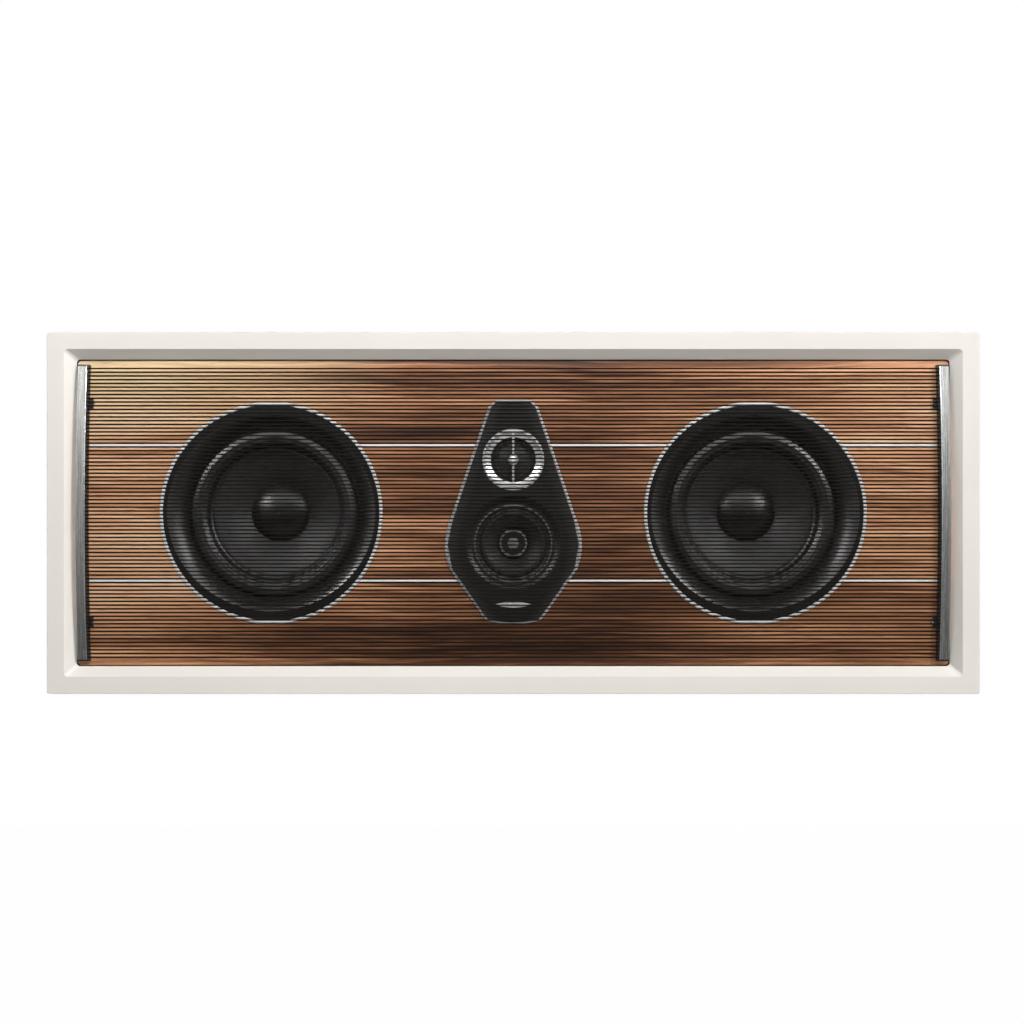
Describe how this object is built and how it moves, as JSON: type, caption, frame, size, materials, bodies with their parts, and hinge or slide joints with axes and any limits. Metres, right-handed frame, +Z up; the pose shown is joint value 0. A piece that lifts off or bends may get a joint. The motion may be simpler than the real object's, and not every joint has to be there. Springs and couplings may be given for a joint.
{
  "type": "in-wall loudspeaker",
  "caption": "Wide in-wall loudspeaker with a bowed wooden front, string grille, woofers, a tapered midrange and tweeter plate, and a white trim frame.",
  "frame": {"origin": "centre of the chassis flange's back face, in the plane of the wall's surface", "axes": "+X to the right seen from the room, +Y into the wall, +Z up"},
  "size_m": [0.76, 0.0943, 0.295],
  "materials": {
    "trim": "fine satin off-white paint",
    "chassis": "moulded black plastic",
    "wood": "satin walnut veneer, grain along the width",
    "inlay": "satin metal line",
    "steel": "zinc plated",
    "string": "black elastic cord",
    "bar": "brushed along its length",
    "black_plastic": "satin black",
    "ring": "gloss black with a polished lip",
    "basket": "powder coated",
    "rubber": "matt black rubber",
    "cone": "black pulp cone",
    "cap": "gloss black",
    "coil": "wound copper on a former",
    "spider": "corrugated cloth",
    "ferrite": "ground ferrite",
    "plate": "satin black with a polished bevel",
    "polished": "polished metal",
    "dome": "coated silk",
    "board": "green circuit board",
    "red_plastic": "moulded red plastic"
  },
  "bodies": {
    "frame": {"trim_frame": "trim", "mounting_chassis": "chassis", "wood_panel": "wood", "inlay_lines": "inlay", "panel_screws": "steel", "grille_strings": "string", "string_comb_left": "black_plastic", "string_comb_right": "black_plastic", "end_bar_left": "bar", "end_bar_right": "bar", "grille_pins": "polished", "woofer_ring_left": "ring", "woofer_ring_right": "ring", "woofer_basket_left": "basket", "woofer_basket_right": "basket", "woofer_surround_left": "rubber", "woofer_surround_right": "rubber", "woofer_spider_left": "spider", "woofer_spider_right": "spider", "woofer_top_plates": "steel", "woofer_magnets": "ferrite", "woofer_yokes": "steel", "woofer_screws": "steel", "centre_plate": "plate", "rear_screws": "steel", "badge": "polished", "midrange_chassis": "basket", "midrange_surround": "rubber", "midrange_motor": "ferrite", "midrange_cup": "black_plastic", "tweeter_ring": "polished", "tweeter_phase_bar": "polished", "tweeter_surround": "dome", "tweeter_body": "basket", "tweeter_strap": "steel", "crossover_board": "board", "crossover_inductors": "coil", "crossover_capacitors": "black_plastic", "crossover_resistors": "trim", "terminal_block": "black_plastic"},
    "woofer_left": {"woofer_cone_left": "cone", "woofer_dust_cap_left": "cap", "woofer_coil_left": "coil"},
    "woofer_right": {"woofer_cone_right": "cone", "woofer_dust_cap_right": "cap", "woofer_coil_right": "coil"},
    "midrange": {"midrange_cone": "cone", "midrange_cap": "polished", "midrange_coil": "coil"},
    "tweeter": {"tweeter_dome": "dome"},
    "button_left": {"terminal_button_left": "black_plastic"},
    "button_right": {"terminal_button_right": "red_plastic"},
    "clamp_top_left": {"clamp_screw_top_left": "steel"},
    "clamp_top_right": {"clamp_screw_top_right": "steel"},
    "clamp_bottom_left": {"clamp_screw_bottom_left": "steel"},
    "clamp_bottom_right": {"clamp_screw_bottom_right": "steel"},
    "leg_top_left": {"clamp_leg_top_left": "black_plastic"},
    "leg_top_right": {"clamp_leg_top_right": "black_plastic"},
    "leg_bottom_left": {"clamp_leg_bottom_left": "black_plastic"},
    "leg_bottom_right": {"clamp_leg_bottom_right": "black_plastic"}
  },
  "joints": [
    {"name": "woofer_left_stroke", "type": "slide", "parent": "frame", "child": "woofer_left", "axis": [0, 1, 0], "range_m": [-0.005, 0.005], "stiffness_N_per_m": 1200, "deforming": ["woofer_surround_left", "woofer_spider_left"]},
    {"name": "woofer_right_stroke", "type": "slide", "parent": "frame", "child": "woofer_right", "axis": [0, 1, 0], "range_m": [-0.005, 0.005], "stiffness_N_per_m": 1200, "deforming": ["woofer_surround_right", "woofer_spider_right"]},
    {"name": "midrange_stroke", "type": "slide", "parent": "frame", "child": "midrange", "axis": [0, 1, 0], "range_m": [-0.0015, 0.0015], "stiffness_N_per_m": 1500, "deforming": ["midrange_surround"]},
    {"name": "tweeter_stroke", "type": "slide", "parent": "frame", "child": "tweeter", "axis": [0, 1, 0], "range_m": [-0.0004, 0.0004], "stiffness_N_per_m": 1500, "deforming": ["tweeter_surround"]},
    {"name": "button_left_press", "type": "slide", "parent": "frame", "child": "button_left", "axis": [0, -1, 0], "range_m": [0, 0.004], "stiffness_N_per_m": 1000, "springref_m": -0.002},
    {"name": "button_right_press", "type": "slide", "parent": "frame", "child": "button_right", "axis": [0, -1, 0], "range_m": [0, 0.004], "stiffness_N_per_m": 1000, "springref_m": -0.002},
    {"name": "clamp_top_left_turn", "type": "hinge", "parent": "frame", "child": "clamp_top_left", "pos_m": [-0.24, 0, 0.1355], "axis": [0, -1, 0], "range_deg": [0, 90]},
    {"name": "clamp_top_right_turn", "type": "hinge", "parent": "frame", "child": "clamp_top_right", "pos_m": [0.24, 0, 0.1355], "axis": [0, 1, 0], "range_deg": [0, 90]},
    {"name": "clamp_bottom_left_turn", "type": "hinge", "parent": "frame", "child": "clamp_bottom_left", "pos_m": [-0.24, 0, -0.1355], "axis": [0, 1, 0], "range_deg": [0, 90]},
    {"name": "clamp_bottom_right_turn", "type": "hinge", "parent": "frame", "child": "clamp_bottom_right", "pos_m": [0.24, 0, -0.1355], "axis": [0, -1, 0], "range_deg": [0, 90]},
    {"name": "leg_top_left_draw", "type": "slide", "parent": "clamp_top_left", "child": "leg_top_left", "axis": [0, -1, 0], "range_m": [0, 0.018]},
    {"name": "leg_top_right_draw", "type": "slide", "parent": "clamp_top_right", "child": "leg_top_right", "axis": [0, -1, 0], "range_m": [0, 0.018]},
    {"name": "leg_bottom_left_draw", "type": "slide", "parent": "clamp_bottom_left", "child": "leg_bottom_left", "axis": [0, -1, 0], "range_m": [0, 0.018]},
    {"name": "leg_bottom_right_draw", "type": "slide", "parent": "clamp_bottom_right", "child": "leg_bottom_right", "axis": [0, -1, 0], "range_m": [0, 0.018]}
  ]
}
